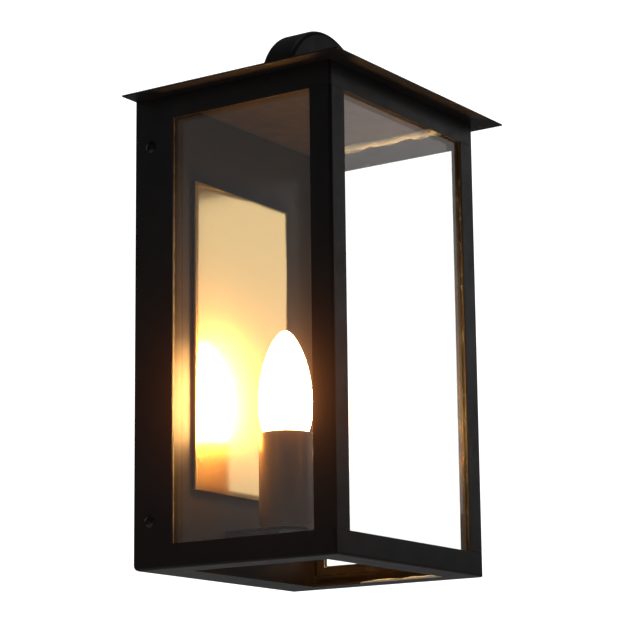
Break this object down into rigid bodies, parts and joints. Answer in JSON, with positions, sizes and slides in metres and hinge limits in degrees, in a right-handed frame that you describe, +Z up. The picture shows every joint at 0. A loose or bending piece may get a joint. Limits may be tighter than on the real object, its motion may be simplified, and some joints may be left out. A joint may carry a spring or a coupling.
{
  "type": "outdoor wall lantern",
  "caption": "Box wall lantern: black folded-steel cage with clear panes, open bottom, flat roof with half-drum cowl, gilt reflector and candle lamp on a hidden wall bracket.",
  "frame": {"origin": "centre of the four wall fixing slots, in the plane of the wall", "axes": "+Z up; the wall is the plane Y = 0 and +Y points into it, so the lantern's front faces -Y; +X to the right seen from the front"},
  "size_m": [0.2, 0.165, 0.3542],
  "materials": {
    "powder_coat": "fine-grained satin black powder coat on folded steel",
    "gilt_reflector": "satin gold-anodised sheet with a clear coat",
    "clear_glass": "clear float glass with polished faces",
    "silicone_bead": "semi-clear silicone bead",
    "black_screw": "black-painted pan-head screws",
    "zinc_steel": "zinc-plated steel",
    "brass": "plain turned brass",
    "ivory_plastic": "moulded heat-resistant plastic",
    "sleeve_plastic": "smooth dark plastic tube",
    "black_rubber": "moulded rubber",
    "brown_insulation": "silicone wire insulation",
    "blue_insulation": "silicone wire insulation",
    "green_yellow_insulation": "striped wire insulation",
    "lamp_glass": "frosted glass, lit",
    "lamp_cap_metal": "rolled thread, satin",
    "lamp_insulator": "black glass",
    "solder": "tinned",
    "stem_glass": "clear glass with nickel wires",
    "filament": "light-emitting strip, lit"
  },
  "bodies": {
    "wall_unit": {"wall_bracket": "zinc_steel", "cable_grommet": "black_rubber"},
    "lantern": {"rear_stile_left": "powder_coat", "rear_stile_right": "powder_coat", "front_post_left": "powder_coat", "front_post_right": "powder_coat", "top_rail_front": "powder_coat", "top_rail_left": "powder_coat", "top_rail_right": "powder_coat", "bottom_rail_front": "powder_coat", "bottom_rail_left": "powder_coat", "bottom_rail_right": "powder_coat", "bottom_rail_rear": "powder_coat", "roof_plate": "powder_coat", "cowl_band": "powder_coat", "cowl_front": "powder_coat", "cowl_rear": "powder_coat", "back_panel": "powder_coat", "glass_front": "clear_glass", "glass_left": "clear_glass", "glass_right": "clear_glass", "seal_front": "silicone_bead", "seal_left": "silicone_bead", "seal_right": "silicone_bead", "side_screws": "black_screw", "side_nuts": "zinc_steel", "reflector_panel": "gilt_reflector", "reflector_studs": "zinc_steel", "reflector_nuts": "zinc_steel", "lamp_bracket": "powder_coat", "bracket_screws": "zinc_steel", "bracket_nuts": "zinc_steel", "lampholder_body": "sleeve_plastic", "lampholder_shell": "brass", "lampholder_contact": "brass", "candle_sleeve": "sleeve_plastic", "nipple": "zinc_steel", "lock_nut": "zinc_steel", "panel_grommet": "black_rubber", "terminal_block": "ivory_plastic", "terminal_tubes": "brass", "terminal_screws": "zinc_steel", "terminal_fixings": "zinc_steel", "earth_screw": "brass", "earth_nut": "brass", "earth_lug": "zinc_steel", "lead_live": "brown_insulation", "lead_neutral": "blue_insulation", "lead_earth": "green_yellow_insulation"},
    "bulb": {"bulb_glass": "lamp_glass", "bulb_cap": "lamp_cap_metal", "bulb_insulator": "lamp_insulator", "bulb_contact": "solder", "bulb_stem": "stem_glass", "bulb_filament": "filament"}
  },
  "joints": [
    {"name": "lantern_slide", "type": "slide", "parent": "wall_unit", "child": "lantern", "axis": [0, -1, 0], "range_m": [0, 0.04]},
    {"name": "bulb_turn", "type": "hinge", "parent": "lantern", "child": "bulb", "pos_m": [0, -0.056, 0], "axis": [0, 0, 1], "range_deg": [0, 1260]}
  ]
}
